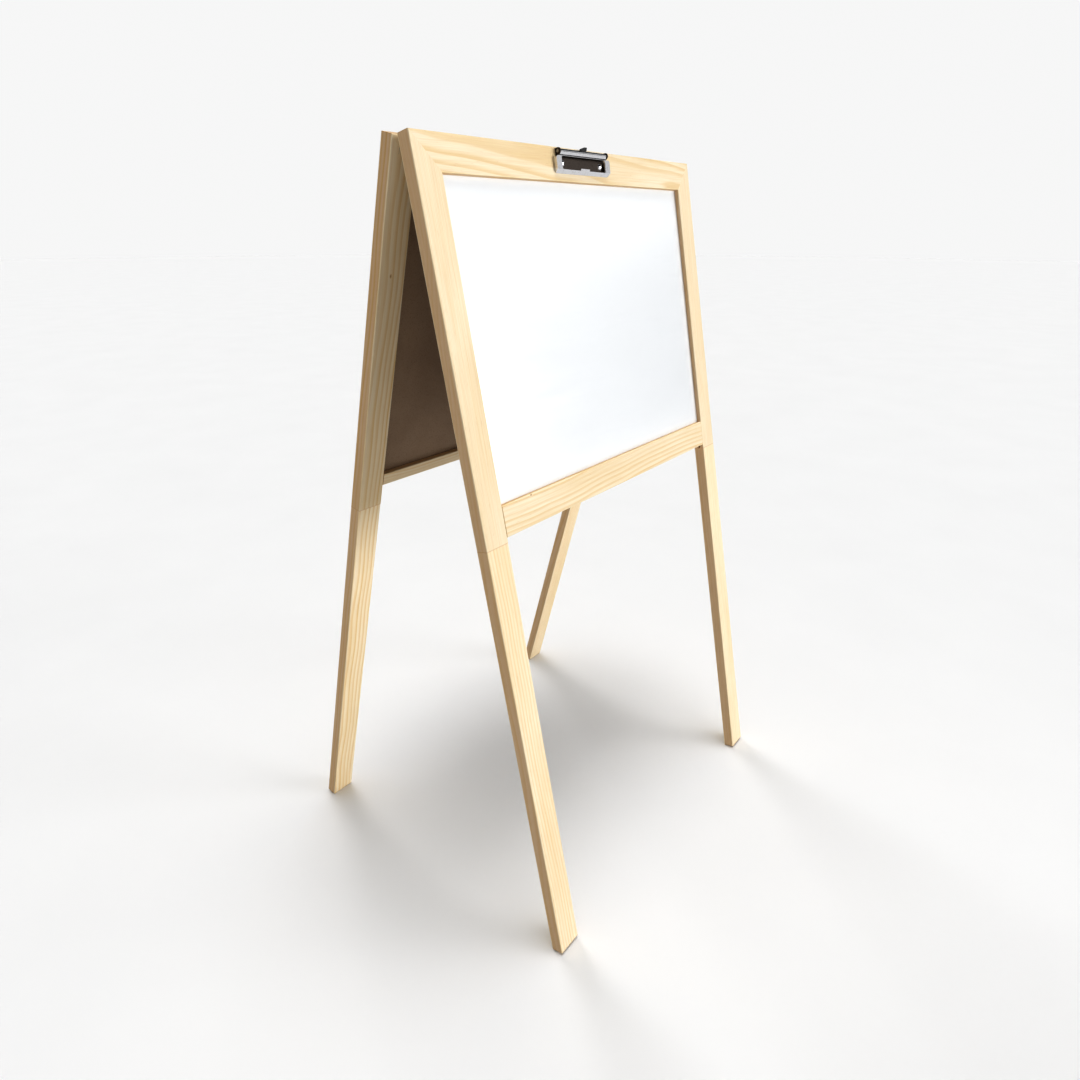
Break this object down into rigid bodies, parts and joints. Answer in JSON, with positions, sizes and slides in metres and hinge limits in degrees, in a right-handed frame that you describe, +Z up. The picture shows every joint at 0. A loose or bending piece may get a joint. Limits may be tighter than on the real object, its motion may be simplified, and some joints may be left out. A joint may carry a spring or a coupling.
{
  "type": "kids easel",
  "caption": "Double-sided pine A-frame easel for children: whiteboard with a sprung paper clip in front, chalkboard with a ledge behind, hinged along the top.",
  "frame": {"origin": "on the floor, midway between the four feet", "axes": "+Z up, +X to the right seen from the whiteboard side, whiteboard frame towards -Y"},
  "size_m": [0.7, 0.5812, 1.1562],
  "materials": {
    "pine_frame": "planed and clear-lacquered, satin",
    "pine_leg": "planed and clear-lacquered, satin",
    "beech_dowel": "fluted, unfinished",
    "whiteboard": "glossy white melamine on brown hardboard",
    "chalkboard": "matte chalkboard paint on brown hardboard",
    "zinc_steel": "zinc-plated",
    "spring_steel": "drawn and oiled",
    "clip_chrome": "bright nickel-chrome plate",
    "black_grip": "soft moulded plastic"
  },
  "bodies": {
    "front_frame": {"front_left_stile": "pine_frame", "front_right_stile": "pine_frame", "front_top_rail": "pine_frame", "front_bottom_rail": "pine_frame", "front_left_leg": "pine_leg", "front_right_leg": "pine_leg", "whiteboard_panel": "whiteboard", "front_leg_dowels": "beech_dowel", "front_rail_dowels": "beech_dowel", "front_corner_nails": "zinc_steel", "left_hinge_front_leaf": "zinc_steel", "right_hinge_front_leaf": "zinc_steel", "left_hinge_pin": "zinc_steel", "right_hinge_pin": "zinc_steel", "front_hinge_screws": "zinc_steel", "clip_base": "clip_chrome", "clip_rod": "spring_steel", "clip_spring_left": "spring_steel", "clip_spring_right": "spring_steel", "clip_screws": "clip_chrome"},
    "rear_frame": {"rear_left_stile": "pine_frame", "rear_right_stile": "pine_frame", "rear_top_rail": "pine_frame", "rear_chalk_ledge": "pine_frame", "rear_left_leg": "pine_leg", "rear_right_leg": "pine_leg", "chalkboard_panel": "chalkboard", "rear_leg_dowels": "beech_dowel", "rear_ledge_dowels": "beech_dowel", "rear_corner_nails": "zinc_steel", "left_hinge_rear_leaf": "zinc_steel", "right_hinge_rear_leaf": "zinc_steel", "rear_hinge_screws": "zinc_steel"},
    "clip_jaw": {"clip_jaw": "clip_chrome", "clip_thumb_grip": "black_grip"}
  },
  "joints": [
    {"name": "frame_fold", "type": "hinge", "parent": "front_frame", "child": "rear_frame", "pos_m": [0, 0, 1.15232], "axis": [-1, 0, 0], "range_deg": [0, 26.26]},
    {"name": "clip_open", "type": "hinge", "parent": "front_frame", "child": "clip_jaw", "pos_m": [0, -0.02879, 1.14774], "axis": [-1, 0, 0], "range_deg": [0, 30], "stiffness_Nm_per_rad": 0.5, "springref_deg": -45.84, "deforming": ["clip_spring_left", "clip_spring_right"]}
  ]
}
